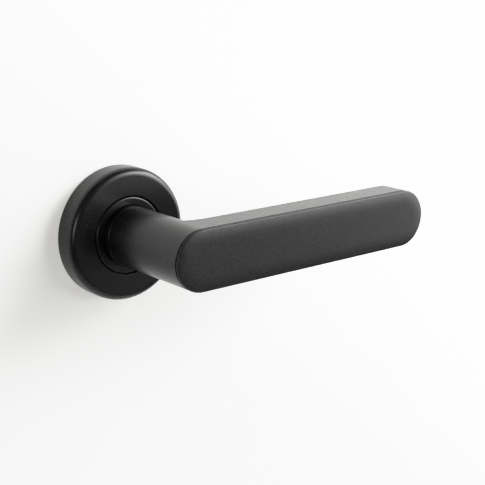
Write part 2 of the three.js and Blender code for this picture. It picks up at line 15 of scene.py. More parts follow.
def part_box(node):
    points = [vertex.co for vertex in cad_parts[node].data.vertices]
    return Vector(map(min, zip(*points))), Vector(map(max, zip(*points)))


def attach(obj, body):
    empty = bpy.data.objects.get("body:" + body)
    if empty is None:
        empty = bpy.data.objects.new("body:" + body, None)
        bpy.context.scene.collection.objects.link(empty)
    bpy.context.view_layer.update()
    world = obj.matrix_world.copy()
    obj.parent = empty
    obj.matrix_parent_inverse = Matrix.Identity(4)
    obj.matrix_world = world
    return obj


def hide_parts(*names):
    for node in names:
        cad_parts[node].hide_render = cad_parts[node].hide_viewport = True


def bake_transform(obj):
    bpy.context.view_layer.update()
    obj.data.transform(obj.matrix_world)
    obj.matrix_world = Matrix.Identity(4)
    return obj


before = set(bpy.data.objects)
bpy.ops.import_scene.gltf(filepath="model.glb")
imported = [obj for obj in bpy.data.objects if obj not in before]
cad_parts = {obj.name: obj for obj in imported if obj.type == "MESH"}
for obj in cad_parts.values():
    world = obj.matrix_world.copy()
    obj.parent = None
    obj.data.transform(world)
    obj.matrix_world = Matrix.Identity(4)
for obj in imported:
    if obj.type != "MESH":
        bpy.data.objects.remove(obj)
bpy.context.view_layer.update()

MM = 0.001
WELD = 2e-6  # metres; points nearer than this are one point
FULL_TURN = 2 * math.pi

# ---------------------------------------------------------------------------
# Sizes, in millimetres


def span(node):
    """A CAD node's lowest and highest corners."""
    low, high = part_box(node)
    return low / MM, high / MM


COVER_LOW, COVER_HIGH = span("rose_cover")
COLLAR_LOW, COLLAR_HIGH = span("bearing_collar")
BASE_LOW, BASE_HIGH = span("base_plate")
BACKING_LOW, BACKING_HIGH = span("backing_plate")
BODY_LOW, BODY_HIGH = span("lever_body")
PLATE_LOW, PLATE_HIGH = span("face_plate")
PAD_LOW, PAD_HIGH = span("bonding_pad")
SPINDLE_LOW, SPINDLE_HIGH = span("spindle")
DRIVER_LOW, DRIVER_HIGH = span("spring_driver")
SPRING_HIGH = span("return_spring")[1]
SNAP_LOW, SNAP_HIGH = span("cover_snap_ring")
WASHER_LOW, WASHER_HIGH = span("thrust_washer")
CLIP_LOW, CLIP_HIGH = span("circlip")
GRUB_LOW, GRUB_HIGH = span("grub_screw")
DOWEL_LOW, DOWEL_HIGH = span("locating_dowel_inner")

CLEARANCE = 0.3

ROSE_R = COVER_HIGH.z
ROSE_FACE_Y = COVER_LOW.y
ROSE_WALL = 1.2
ROSE_FACE_WALL = 1.8
ROSE_EDGE_R = 3.0
ROSE_HOLE_R = 15.5

COLLAR_R = COLLAR_HIGH.z
COLLAR_FACE_Y = COLLAR_LOW.y
COLLAR_SPIGOT_R = 12.4
NECK_RECESS_R = 12.0
NECK_RECESS_Y = COLLAR_FACE_Y + 1.4

BLADE_HALF = BODY_HIGH.z
REACH = BODY_HIGH.x - BLADE_HALF  # turning axis to the centre of the free end
BLADE_BACK_Y = -42.2
NECK_R = BLADE_HALF
NECK_END_Y = NECK_RECESS_Y - CLEARANCE
NECK_FILLET_R = 3.0
RING_LINE_Y = -12.4
RING_LINE_DEPTH = 0.2
BACK_EDGE_R = 0.5  # rounding round the blade's back
SEAM_EDGE_R = 0.12
PLATE_EDGE_R = 0.6
PLATE_CROWN_WIDTH = 6.4  # shallow curve between the plate's edge and its flat middle
PLATE_CROWN_TILT = math.radians(12)  # the crown's slope where the edge meets it

JOURNAL_R = 9.0
JOURNAL_FLAT_X = 8.0
CLIP_GROOVE_R = 8.1
CLIP_GROOVE_Y = 0.8
CLIP_GROOVE_END_Y = 2.4
BORE_R = JOURNAL_R + CLEARANCE
SOCKET_HALF = SPINDLE_HIGH.z + CLEARANCE

CHAMBER_R = 14.4
CHAMBER_FRONT_Y = BASE_LOW.y + 1.2
BASE_BACK_Y = -1.5
EAR_MIDDLE = math.pi
EAR_HALF = math.radians(9)
EAR_R = 17.0
DRIVER_R = 13.6
TURN = math.radians(45)
STOP_CIRCLE_R = 16.0
STOP_PIN_R = 1.0
STOP_REACH = TURN / 2 + EAR_HALF + (STOP_PIN_R + CLEARANCE) / STOP_CIRCLE_R

SPRING_R = 12.4
SPRING_WIDTH = 2.1
SPRING_HEIGHT = 0.95
SPRING_PITCH = 1.2
SPRING_TURNS = 1.9

SNAP_OUTER_R = 24.9
SNAP_INNER_R = 23.3
SNAP_HALF_GAP = math.radians(8)

BOLT_Z = 19.0
BOLT_R = 2.0
BOLT_HEAD_R = 3.5
BOLT_HEAD_HEIGHT = 2.2
BOLT_PITCH = 0.7
BOLT_KEY = 2.5  # across the flats
SPIGOT_R = 3.6
SLEEVE_R = 3.2
SLEEVE_HEAD_R = 5.5
DOOR_THICKNESS = 40.0

RIVET_CIRCLE_R = 20.5
RIVET_R = 1.2
RIVET_HEAD_R = 2.0
RIVET_HEAD_HEIGHT = 0.5
RIVET_ANGLES = [math.radians(angle) for angle in (30, 150, 210, 330)]

DOWEL_X = {"inner": 15.0, "outer": 88.0}
DOWEL_R = 1.5
GRUB_R = 3.0
GRUB_Y = -20.0
GRUB_PITCH = 1.0
GRUB_KEY = 3.0

SHOWN_STEPS = 144  # points round a turned piece that gives no number of its own
COVER_STEPS = 192
SPIGOT_STEPS = 72
BOLT_HOLE_STEPS = 50  # few angles in common with the spigots, which it then cuts cleanly

# ---------------------------------------------------------------------------
# Shapes


def rounded(corners, closed=False, steps=8):
    """Corners (u, v) or (u, v, radius) as a line of points with those corners rounded."""
    points = []
    for i, corner in enumerate(corners):
        here = np.array(corner[:2], float)
        radius = corner[2] if len(corner) > 2 else 0.0
        if radius == 0.0:
            points.append(here)
            continue
        before = np.array(corners[i - 1][:2], float) - here
        after = np.array(corners[(i + 1) % len(corners)][:2], float) - here
        before /= np.linalg.norm(before)
        after /= np.linalg.norm(after)
        half = math.acos(float(np.clip(before @ after, -1, 1))) / 2
        middle = (before + after) / np.linalg.norm(before + after)
        centre = here + middle * radius / math.sin(half)
        first = here + before * radius / math.tan(half) - centre
        last = here + after * radius / math.tan(half) - centre
        sweep = math.pi - 2 * half
        for t in np.linspace(0, 1, steps + 1):
            arm = first * math.sin((1 - t) * sweep) + last * math.sin(t * sweep)
            points.append(centre + arm / math.sin(sweep))
    return points


def on_circle(radius, angle):
    """The point (x, z) at an angle from +X towards +Z."""
    return radius * math.cos(angle), radius * math.sin(angle)


def arc(radius, start, end, steps, centre=(0.0, 0.0)):
    """Points (x, z) on an arc, angles measured from +X towards +Z."""
    return [
        (centre[0] + radius * math.cos(a), centre[1] + radius * math.sin(a))
        for a in np.linspace(start, end, steps + 1)
    ]


def circle(radius, steps, x=0.0, z=0.0):
    return arc(radius, 0, FULL_TURN, steps, (x, z))[:-1]


def stadium(half, steps=48):
    """The blade's outline: two half circles joined by straight edges."""
    quarter = math.pi / 2
    left = arc(half, quarter, 3 * quarter, steps)
    right = arc(half, -quarter, quarter, steps, (REACH, 0.0))
    return left + right


def rectangle(half_x, half_z, x=0.0, z=0.0):
    return [(x + half_x, z - half_z), (x + half_x, z + half_z),
            (x - half_x, z + half_z), (x - half_x, z - half_z)]


def ring(radius, y, angles, x=0.0, z=0.0):
    """Points round a line along Y. The radius may be one number, or one for each angle."""
    height = np.full(len(angles), y)
    return np.column_stack([x + radius * np.cos(angles), height, z + radius * np.sin(angles)])


def skin(rings, closed=False):
    """Points and faces of the surface through rings that all have as many points.

    A closed skin joins its last ring to its first; any other is capped at both ends.
    """
    rows, columns = len(rings), len(rings[0])
    faces = []
    for i in range(rows if closed else rows - 1):
        above = i * columns
        below = (i + 1) % rows * columns
        for j in range(columns):
            k = (j + 1) % columns
            faces.append((above + j, above + k, below + k, below + j))
    if not closed:
        for cap in (0, rows - 1):
            if np.ptp(rings[cap], axis=0).max() > WELD / MM:
                faces.append(tuple(cap * columns + j for j in range(columns)))
    return np.concatenate(rings), faces


def solid(name, points, faces):
    """A closed mesh from points in millimetres, its doubles merged and its faces turned out."""
    mesh = bpy.data.meshes.new(name)
    mesh.from_pydata((np.asarray(points) * MM).tolist(), [], faces)
    work = bmesh.new()
    work.from_mesh(mesh)
    bmesh.ops.remove_doubles(work, verts=work.verts, dist=WELD)
    bmesh.ops.dissolve_degenerate(work, edges=work.edges, dist=WELD)
    bmesh.ops.recalc_face_normals(work, faces=work.faces)
    work.to_mesh(mesh)
    work.free()
    piece = bpy.data.objects.new(name, mesh)
    bpy.context.collection.objects.link(piece)
    return piece


def turned(name, corners, steps=SHOWN_STEPS, x=0.0, z=0.0):
    """A piece turned about a line along Y from a profile of (radius, y, corner radius)."""
    closed = corners[0][0] > 0
    angles = np.linspace(0, FULL_TURN, steps, endpoint=False)
    rings = [ring(r, y, angles, x, z) for r, y in rounded(corners, closed)]
    return solid(name, *skin(rings, closed))


def prism(name, outline, front_y, back_y):
    """An outline of (x, z) points given a thickness along Y."""
    rings = [np.array([(x, y, z) for x, z in outline]) for y in (front_y, back_y)]
    return solid(name, *skin(rings))


def bake(piece):
    """Replaces a piece's mesh with what its modifiers make of it."""
    graph = bpy.context.evaluated_depsgraph_get()
    mesh = bpy.data.meshes.new_from_object(piece.evaluated_get(graph))
    piece.modifiers.clear()
    piece.data = mesh
    return piece


def carve(piece, cuts=(), joins=()):
    """Joins some shapes to a piece, then cuts others out of it. They are used up."""
    for tools, operation in ((joins, "UNION"), (cuts, "DIFFERENCE")):
        for tool in tools:
            change = piece.modifiers.new("carve", "BOOLEAN")
            change.operation = operation
            change.solver = "EXACT"
            change.object = tool
    bake(piece)
    for tool in (*joins, *cuts):
        bpy.data.objects.remove(tool)
    return piece


def soften(piece, width, segments=3):
    """Rounds a piece's sharp edges."""
    bevel = piece.modifiers.new("soften", "BEVEL")
    bevel.limit_method = "ANGLE"
    bevel.angle_limit = math.radians(50)
    bevel.width = width * MM
    bevel.segments = segments
    return bake(piece)


def place(piece, node, body, material):
    """Gives a piece its finish, stands it in for a CAD node and lets it ride on a body."""
    piece.name = f"{node}_detail"
    dress(piece, material)
    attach(piece, body)
    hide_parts(node)


def dress(piece, material):
    """Gives a piece its material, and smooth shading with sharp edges."""
    piece.data.materials.clear()
    piece.data.materials.append(material)
    piece.data.shade_smooth()
    piece.data.set_sharp_from_angle(angle=math.radians(32))
    even = piece.modifiers.new("even_shading", "WEIGHTED_NORMAL")
    even.keep_sharp = True


# ---------------------------------------------------------------------------
# Materials. Patterns run in object coordinates, in metres.


def new_material(name):
    material = bpy.data.materials.new(name)
    material.use_nodes = True
    tree = material.node_tree
    return material, tree, tree.nodes["Principled BSDF"]


def pattern_space(tree, stretch=(1, 1, 1)):
    """Object coordinates, squeezed so that a pattern runs longest along its smallest number."""
    source = tree.nodes.new("ShaderNodeTexCoord")
    mapping = tree.nodes.new("ShaderNodeMapping")
    mapping.inputs["Scale"].default_value = stretch
    tree.links.new(source.outputs["Object"], mapping.inputs["Vector"])
    return mapping.outputs["Vector"]


def noise(tree, space, feature, detail=2.0, roughness=0.5):
    """Noise from 0 to 1 whose features are about that many millimetres across."""
    node = tree.nodes.new("ShaderNodeTexNoise")
    node.inputs["Scale"].default_value = 1 / (feature * MM)
    node.inputs["Detail"].default_value = detail
    node.inputs["Roughness"].default_value = roughness
    tree.links.new(space, node.inputs["Vector"])
    return node.outputs["Fac"]


def spread(tree, value, low, high, start=0.3, end=0.7):
    """A value between start and end as one between low and high."""
    node = tree.nodes.new("ShaderNodeMapRange")
    node.inputs["From Min"].default_value = start
    node.inputs["From Max"].default_value = end
    node.inputs["To Min"].default_value = low
    node.inputs["To Max"].default_value = high
    tree.links.new(value, node.inputs["Value"])
    return node.outputs["Result"]


def blend_colours(tree, factor, first, second):
    """The first colour where the factor is 0, the second where it is 1."""
    node = tree.nodes.new("ShaderNodeMix")
    node.data_type = "RGBA"
    ends = [socket for socket in node.inputs if socket.type == "RGBA"]
    for socket, colour in zip(ends, (first, second)):
        socket.default_value = (*colour, 1)
    tree.links.new(factor, node.inputs["Factor"])
    return next(socket for socket in node.outputs if socket.type == "RGBA")


def relief(tree, shader, height, depth):
    """A bump of a depth in millimetres."""
    node = tree.nodes.new("ShaderNodeBump")
    node.inputs["Distance"].default_value = depth * MM
    tree.links.new(height, node.inputs["Height"])
    tree.links.new(node.outputs["Normal"], shader.inputs["Normal"])


def powder_coat(name, dark, light, rough_low, rough_high, pebble_depth=0.0):
    """Baked black powder paint: a faintly cloudy gloss and specks of lighter grey, with
    a fine pebbled skin where a depth is given for it."""
    material, tree, shader = new_material(name)
    shader.inputs["Specular IOR Level"].default_value = 0.37
    space = pattern_space(tree)
    cloud = noise(tree, space, 6.0, detail=3.0)
    speck = noise(tree, space, 1.0, detail=4.0, roughness=0.7)
    colour = blend_colours(tree, spread(tree, speck, 0, 1), [dark] * 3, [light] * 3)
    tree.links.new(colour, shader.inputs["Base Color"])
    tree.links.new(spread(tree, cloud, rough_low, rough_high), shader.inputs["Roughness"])
    if pebble_depth:
        pebble = noise(tree, space, 0.5, detail=3.0, roughness=0.6)
        relief(tree, shader, pebble, pebble_depth)
    return material


def zinc_plate():
    """Bright zinc plate: rolled lines under a cloudy, faintly blue and straw passivation."""
    material, tree, shader = new_material("zinc_plated_steel")
    shader.inputs["Metallic"].default_value = 1.0
    cloud = noise(tree, pattern_space(tree), 5.0, detail=4.0, roughness=0.6)
    lines = noise(tree, pattern_space(tree, (1, 0.06, 1)), 0.35, detail=3.0)
    tint = spread(tree, cloud, 0, 1)
    colour = blend_colours(tree, tint, (0.56, 0.58, 0.62), (0.68, 0.67, 0.62))
    tree.links.new(colour, shader.inputs["Base Color"])
    tree.links.new(spread(tree, lines, 0.26, 0.42), shader.inputs["Roughness"])
    relief(tree, shader, lines, 0.01)
    return material


def spring_steel():
    """Oil-blackened steel with the fine lines of drawing and rolling."""
    material, tree, shader = new_material("spring_steel")
    shader.inputs["Metallic"].default_value = 1.0
    stain = noise(tree, pattern_space(tree), 2.5, detail=4.0, roughness=0.65)
    lines = noise(tree, pattern_space(tree, (1, 0.1, 1)), 0.2, detail=2.0)
    tint = spread(tree, stain, 0, 1)
    colour = blend_colours(tree, tint, (0.10, 0.11, 0.13), (0.24, 0.24, 0.25))
    tree.links.new(colour, shader.inputs["Base Color"])
    tree.links.new(spread(tree, stain, 0.24, 0.4), shader.inputs["Roughness"])
    relief(tree, shader, lines, 0.008)
    return material


def black_nylon():
    """Glass-filled nylon: spark-eroded skin with short pale fibres just below it."""
    material, tree, shader = new_material("black_nylon")
    fibre = noise(tree, pattern_space(tree, (1, 0.3, 1)), 0.5, detail=4.0, roughness=0.7)
    grain = noise(tree, pattern_space(tree), 0.25, detail=2.0)
    tint = spread(tree, fibre, 0, 1, 0.5, 0.8)
    colour = blend_colours(tree, tint, (0.022, 0.022, 0.024), (0.06, 0.06, 0.062))
    tree.links.new(colour, shader.inputs["Base Color"])
    tree.links.new(spread(tree, fibre, 0.5, 0.62), shader.inputs["Roughness"])
    relief(tree, shader, grain, 0.03)
    return material


def white_acetal():
    """Natural acetal with a faintly waxy, uneven skin."""
    material, tree, shader = new_material("white_acetal")
    cloud = noise(tree, pattern_space(tree), 3.0, detail=3.0)
    grain = noise(tree, pattern_space(tree), 0.4, detail=2.0)
    tint = spread(tree, cloud, 0, 1)
    colour = blend_colours(tree, tint, (0.74, 0.72, 0.66), (0.82, 0.80, 0.75))
    tree.links.new(colour, shader.inputs["Base Color"])
    tree.links.new(spread(tree, cloud, 0.38, 0.5), shader.inputs["Roughness"])
    relief(tree, shader, grain, 0.012)
    return material


def bonding_foam():
    """Closed-cell acrylic foam: small round cells, open where the pad was cut."""
    material, tree, shader = new_material("bonding_foam")
    cells = tree.nodes.new("ShaderNodeTexVoronoi")
    cells.inputs["Scale"].default_value = 1 / (0.3 * MM)
    tree.links.new(pattern_space(tree), cells.inputs["Vector"])
    depth = cells.outputs["Distance"]
    colour = blend_colours(tree, depth, (0.045, 0.045, 0.045), (0.02, 0.02, 0.02))
    tree.links.new(colour, shader.inputs["Base Color"])
    tree.links.new(spread(tree, depth, 0.8, 0.95, 0, 1), shader.inputs["Roughness"])
    relief(tree, shader, depth, 0.05)
    return material


COAT = powder_coat("black_powder_coat", 0.003, 0.010, 0.27, 0.29)
FACE_COAT = powder_coat("black_face_coat", 0.0, 0.020, 0.34, 0.38, pebble_depth=0.02)
COLLAR_COAT = powder_coat("black_collar", 0.003, 0.005, 0.28, 0.31)
NYLON = black_nylon()
ZINC = zinc_plate()
SPRING_STEEL = spring_steel()
ACETAL = white_acetal()
FOAM = bonding_foam()

# ---------------------------------------------------------------------------
# The rose


def rose_cover():
    inner_r = ROSE_R - ROSE_WALL
    inner_y = ROSE_FACE_Y + ROSE_FACE_WALL
    groove_r = SNAP_HIGH.z + CLEARANCE
    groove_front_y = SNAP_LOW.y - CLEARANCE
    groove_back_y = SNAP_HIGH.y + CLEARANCE
    cover = turned("cover", [
        (ROSE_HOLE_R, inner_y, 0.15),
        (ROSE_HOLE_R, ROSE_FACE_Y, 0.3),
        (ROSE_R, ROSE_FACE_Y, ROSE_EDGE_R),
        (ROSE_R, 0, 0.2),
        (inner_r, 0, 0.2),
        (inner_r, groove_back_y),
        (groove_r, groove_back_y),
        (groove_r, groove_front_y),
        (inner_r, groove_front_y),
        (inner_r, inner_y, ROSE_EDGE_R - ROSE_WALL),
    ], COVER_STEPS)
    place(cover, "rose_cover", "rose", COAT)


def bearing_collar():
    collar = turned("collar", [
        (BORE_R, NECK_RECESS_Y),
        (NECK_RECESS_R, NECK_RECESS_Y),
        (NECK_RECESS_R, COLLAR_FACE_Y, 0.2),
        (COLLAR_R, COLLAR_FACE_Y, 0.8),
        (COLLAR_R, BASE_LOW.y - CLEARANCE, 0.1),
        (COLLAR_SPIGOT_R, BASE_LOW.y - CLEARANCE),
        (COLLAR_SPIGOT_R, COLLAR_HIGH.y, 0.2),
        (BORE_R, COLLAR_HIGH.y, 0.2),
    ])
    place(collar, "bearing_collar", "rose", COLLAR_COAT)


def bolt_holes(front_y, seat_y, back_y):
    """One tool for each bolt's head seat and hole: as two tools, they leave a loose face
    where they meet."""
    seat_r = BOLT_HEAD_R + CLEARANCE
    hole_r = BOLT_R + CLEARANCE
    return [
        turned("cut", [
            (0, front_y),
            (seat_r, front_y),
            (seat_r, seat_y),
            (hole_r, seat_y),
            (hole_r, back_y),
            (0, back_y),
        ], BOLT_HOLE_STEPS, 0, z)
        for z in (BOLT_Z, -BOLT_Z)
    ]


def rivet_holes(radius, front_y, back_y):
    places = [on_circle(RIVET_CIRCLE_R, angle) for angle in RIVET_ANGLES]
    return [prism("cut", circle(radius, 36, x, z), front_y, back_y) for x, z in places]


def base_plate():
    """The moulding behind the cover, with the spring's chamber and the ear's window."""
    hole_r = COLLAR_SPIGOT_R + CLEARANCE
    groove_r = -SNAP_LOW.z - 2.0
    groove_front_y = SNAP_LOW.y - CLEARANCE
    groove_back_y = SNAP_HIGH.y + CLEARANCE
    base_r = BASE_HIGH.z
    front_y = BASE_LOW.y - 1
    disc = turned("base", [
        (hole_r, BASE_LOW.y, 0.2),
        (base_r, BASE_LOW.y, 0.9),
        (base_r, groove_front_y, 0.1),
        (groove_r, groove_front_y),
        (groove_r, groove_back_y),
        (base_r, groove_back_y, 0.1),
        (base_r, BASE_BACK_Y, 0.2),
        (CHAMBER_R, BASE_BACK_Y, 0.2),
        (CHAMBER_R, CHAMBER_FRONT_Y, 0.4),
        (hole_r, CHAMBER_FRONT_Y),
    ])
    spigots = [
        turned("spigot", [
            (0, BASE_BACK_Y - 1),
            (SPIGOT_R, BASE_BACK_Y - 1),
            (SPIGOT_R, BASE_HIGH.y, 0.4),
            (0, BASE_HIGH.y),
        ], SPIGOT_STEPS, 0, z)
        for z in (BOLT_Z, -BOLT_Z)
    ]
    pin_hole_r = STOP_PIN_R + CLEARANCE
    window_half = STOP_REACH + pin_hole_r / STOP_CIRCLE_R
    window_r = EAR_R + 0.4
    window = prism(
        "window",
        arc(window_r, EAR_MIDDLE - window_half, EAR_MIDDLE + window_half, 24)
        + arc(CHAMBER_R - 1, EAR_MIDDLE + window_half, EAR_MIDDLE - window_half, 24),
        CHAMBER_FRONT_Y, BASE_BACK_Y + 1,
    )
    slot_half = (window_r - CHAMBER_R + 1) / 2
    slot = prism(
        "slot",
        rectangle(slot_half, SPRING_WIDTH / 2 + CLEARANCE, CHAMBER_R - 1 + slot_half),
        BASE_BACK_Y - 1.6, BASE_BACK_Y + 1,
    )
    seat_y = BASE_LOW.y + BOLT_HEAD_HEIGHT + 2 * CLEARANCE
    pin_holes = []
    for angle in (EAR_MIDDLE + STOP_REACH, EAR_MIDDLE - STOP_REACH):
        hole = circle(pin_hole_r, 32, *on_circle(STOP_CIRCLE_R, angle))
        pin_holes.append(prism("cut", hole, front_y, CHAMBER_FRONT_Y + 1))
    cuts = [
        window,
        slot,
        *bolt_holes(front_y, seat_y, BASE_HIGH.y + 1),
        *rivet_holes(RIVET_R + CLEARANCE, front_y, 0),
        *rivet_holes(RIVET_HEAD_R + CLEARANCE, front_y, BASE_LOW.y + 1.0),
        *pin_holes,
    ]
    place(carve(disc, cuts, spigots), "base_plate", "rose", NYLON)


def backing_plate():
    front_y = BACKING_LOW.y
    back_y = BACKING_HIGH.y
    disc = prism("backing", circle(BACKING_HIGH.z, SHOWN_STEPS), front_y, back_y)
    centre = prism("cut", circle(BORE_R, 96), front_y - 1, back_y + 1)
    spigot_holes = [
        prism("cut", circle(SPIGOT_R + CLEARANCE, 48, 0, z), front_y - 1, back_y + 1)
        for z in (BOLT_Z, -BOLT_Z)
    ]
    rivets = rivet_holes(RIVET_R + CLEARANCE, front_y - 1, back_y + 1)
    plate = soften(carve(disc, [centre, *spigot_holes, *rivets]), 0.15)
    place(plate, "backing_plate", "rose", ZINC)


def plate_rivets():
    head_y = BASE_LOW.y + 0.2
    under_y = head_y + RIVET_HEAD_HEIGHT
    closed_r = RIVET_R + 0.22  # of the end that is spread in the backing plate
    end_y = -0.02
    for number, angle in enumerate(RIVET_ANGLES, 1):
        x, z = on_circle(RIVET_CIRCLE_R, angle)
        rivet = turned("rivet", [
            (0, head_y),
            (RIVET_HEAD_R, head_y, 0.35),
            (RIVET_HEAD_R, under_y, 0.05),
            (RIVET_R, under_y),
            (RIVET_R, -0.9),
            (closed_r, -0.75, 0.1),
            (closed_r, end_y, 0.45),
            (0, end_y),
        ], 40, x, z)
        place(rivet, f"plate_rivet_{number}", "rose", ZINC)


def stop_pins():
    for node, angle in (("stop_pin_level", STOP_REACH), ("stop_pin_pressed", -STOP_REACH)):
        low, high = span(node)
        x, z = on_circle(STOP_CIRCLE_R, EAR_MIDDLE + angle)
        pin = turned("pin", [
            (0, low.y),
            (STOP_PIN_R, low.y, 0.25),
            (STOP_PIN_R, high.y, 0.25),
            (0, high.y),
        ], 40, x, z)
        place(pin, node, "rose", ZINC)


def cover_snap_ring():
    outer = arc(SNAP_OUTER_R, SNAP_HALF_GAP, FULL_TURN - SNAP_HALF_GAP, SHOWN_STEPS)
    inner = arc(SNAP_INNER_R, FULL_TURN - SNAP_HALF_GAP, SNAP_HALF_GAP, SHOWN_STEPS)
    snap = soften(prism("snap", outer + inner, SNAP_LOW.y, SNAP_HIGH.y), 0.2)
    place(snap, "cover_snap_ring", "rose", SPRING_STEEL)


def smoothed(path, rounds=3):
    """A line of points with its corners cut, keeping both ends."""
    path = np.asarray(path, float)
    for _ in range(rounds):
        near = path[:-1] * 0.75 + path[1:] * 0.25
        far = path[:-1] * 0.25 + path[1:] * 0.75
        inner = np.stack([near, far], axis=1).reshape(-1, 3)
        path = np.concatenate([path[:1], inner[1:-1], path[-1:]])
    return path


def return_spring():
    """Flat wire: a radial tang at the back, the coil, and a hook in the driver's notch."""
    back_y = SPRING_HIGH.y - SPRING_HEIGHT / 2
    tang = [(x, back_y, 0.0) for x in (EAR_R, 15.8, 14.6, 13.4)]
    coil = []
    for turn in np.linspace(0.035, SPRING_TURNS, 150):
        x, z = on_circle(SPRING_R, -FULL_TURN * turn)
        coil.append((x, back_y - SPRING_PITCH * turn, z))
    end_x, end_y, end_z = coil[-1]
    hook = [(end_x, end_y - depth, end_z) for depth in (0.5, 1.0, 1.4)]
    path = smoothed(tang + coil + hook)

    # The wire's width lies square to the turning axis; in the hook it points outwards.
    along = np.gradient(path, axis=0)
    along /= np.linalg.norm(along, axis=1, keepdims=True)
    out = path * (1, 0, 1)
    out /= np.linalg.norm(out, axis=1, keepdims=True)
    wide = np.cross(along, (0, 1, 0))
    upright = np.abs(along[:, 1]) > 0.3
    wide[upright] = out[upright]
    wide /= np.linalg.norm(wide, axis=1, keepdims=True)
    thick = np.cross(wide, along)
    half_w, half_h = SPRING_WIDTH / 2, SPRING_HEIGHT / 2
    section = rounded([(u, v, 0.25) for u, v in rectangle(half_w, half_h)], True, 3)
    rings = [
        np.array([point + wide[i] * u + thick[i] * v for u, v in section])
        for i, point in enumerate(path)
    ]
    spring = solid("return_spring_detail", *skin(rings))
    dress(spring, SPRING_STEEL)
    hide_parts("return_spring")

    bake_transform(spring)


def threaded(radius, pitch, start_y, end_y, angles):
    """Rings of a screw thread that runs out at both ends."""
    depth = 0.55 * pitch
    count = round((end_y - start_y) / pitch * 8)
    rings = []
    for y in np.linspace(start_y, end_y, count + 1):
        phase = (y / pitch - angles / FULL_TURN) % 1
        groove = np.clip(1.25 * np.abs(2 * phase - 1) - 0.125, 0, 1)
        run_out = min(1.0, (y - start_y) / pitch, (end_y - y) / pitch)
        rings.append(ring(radius - depth * groove * max(run_out, 0.0), y, angles))
    return rings


def hexagon(across_flats, x=0.0, z=0.0):
    return circle(across_flats / math.sqrt(3), 6, x, z)


def fixing_bolts():
    for side, z in (("upper", BOLT_Z), ("lower", -BOLT_Z)):
        node = f"fixing_bolt_{side}"
        low, high = span(node)
        angles = np.linspace(0, FULL_TURN, 36, endpoint=False)
        under_y = low.y + BOLT_HEAD_HEIGHT
        head = rounded([
            (0, low.y),
            (BOLT_HEAD_R, low.y, 0.7),
            (BOLT_HEAD_R, under_y, 0.15),
            (BOLT_R, under_y),
            (BOLT_R, under_y + 1.5),
        ])
        end = [(BOLT_R, high.y - 0.5), (BOLT_R - 0.5, high.y), (0, high.y)]
        rings = [ring(r, y, angles) for r, y in head]
        rings += threaded(BOLT_R, BOLT_PITCH, under_y + 2, high.y - 0.7, angles)
        rings += [ring(r, y, angles) for r, y in end]
        points, faces = skin(rings)
        bolt = solid("bolt", points + (0, 0, z), faces)
        key = prism("key", hexagon(BOLT_KEY, 0, z), low.y - 1, low.y + 1.4)
        place(carve(bolt, [key]), node, "rose", ZINC)


def sleeve_nuts():
    for side, z in (("upper", BOLT_Z), ("lower", -BOLT_Z)):
        node = f"sleeve_nut_{side}"
        low, high = span(node)
        bore_r = BOLT_R + CLEARANCE
        nut = turned("nut", [
            (0, DOOR_THICKNESS - 2),
            (bore_r, DOOR_THICKNESS - 2),
            (bore_r, low.y, 0.3),
            (SLEEVE_R, low.y, 0.3),
            (SLEEVE_R, DOOR_THICKNESS),
            (SLEEVE_HEAD_R, DOOR_THICKNESS, 0.15),
            (SLEEVE_HEAD_R, high.y, 0.9),
            (0, high.y),
        ], 96, 0, z)
        slot = prism("slot", rectangle(SLEEVE_HEAD_R + 1, 0.6, 0, z), high.y - 0.9, high.y + 1)
        place(soften(carve(nut, [slot]), 0.08, 2), node, "rose", ZINC)


# ---------------------------------------------------------------------------
# The lever


def blade_columns():
    """The blade's outline as points and outward normals, with even steps of angle
    along the straight edges as seen from the turning axis."""
    corner = math.atan2(BLADE_HALF, REACH)
    straight = BLADE_HALF / np.tan(np.linspace(math.pi / 2, corner, 36)[1:-1])

    def round_end(centre_x, start):
        for angle in np.linspace(start, start + math.pi, 61):
            x, z = on_circle(1, angle)
            yield centre_x + BLADE_HALF * x, BLADE_HALF * z, x, z

    rows = [
        *round_end(0, math.pi / 2),
        *((x, -BLADE_HALF, 0.0, -1.0) for x in straight),
        *round_end(REACH, -math.pi / 2),
        *((x, BLADE_HALF, 0.0, 1.0) for x in straight[::-1]),
    ]
    table = np.array(rows)
    return table[:, :2], table[:, 2:]


def soft_min(a, b, width):
    """The smaller of two numbers, with the change from one to the other eased."""
    mix = np.clip(0.5 + 0.5 * (b - a) / np.maximum(width, 1e-9), 0, 1)
    return b * (1 - mix) + a * mix - width * mix * (1 - mix)


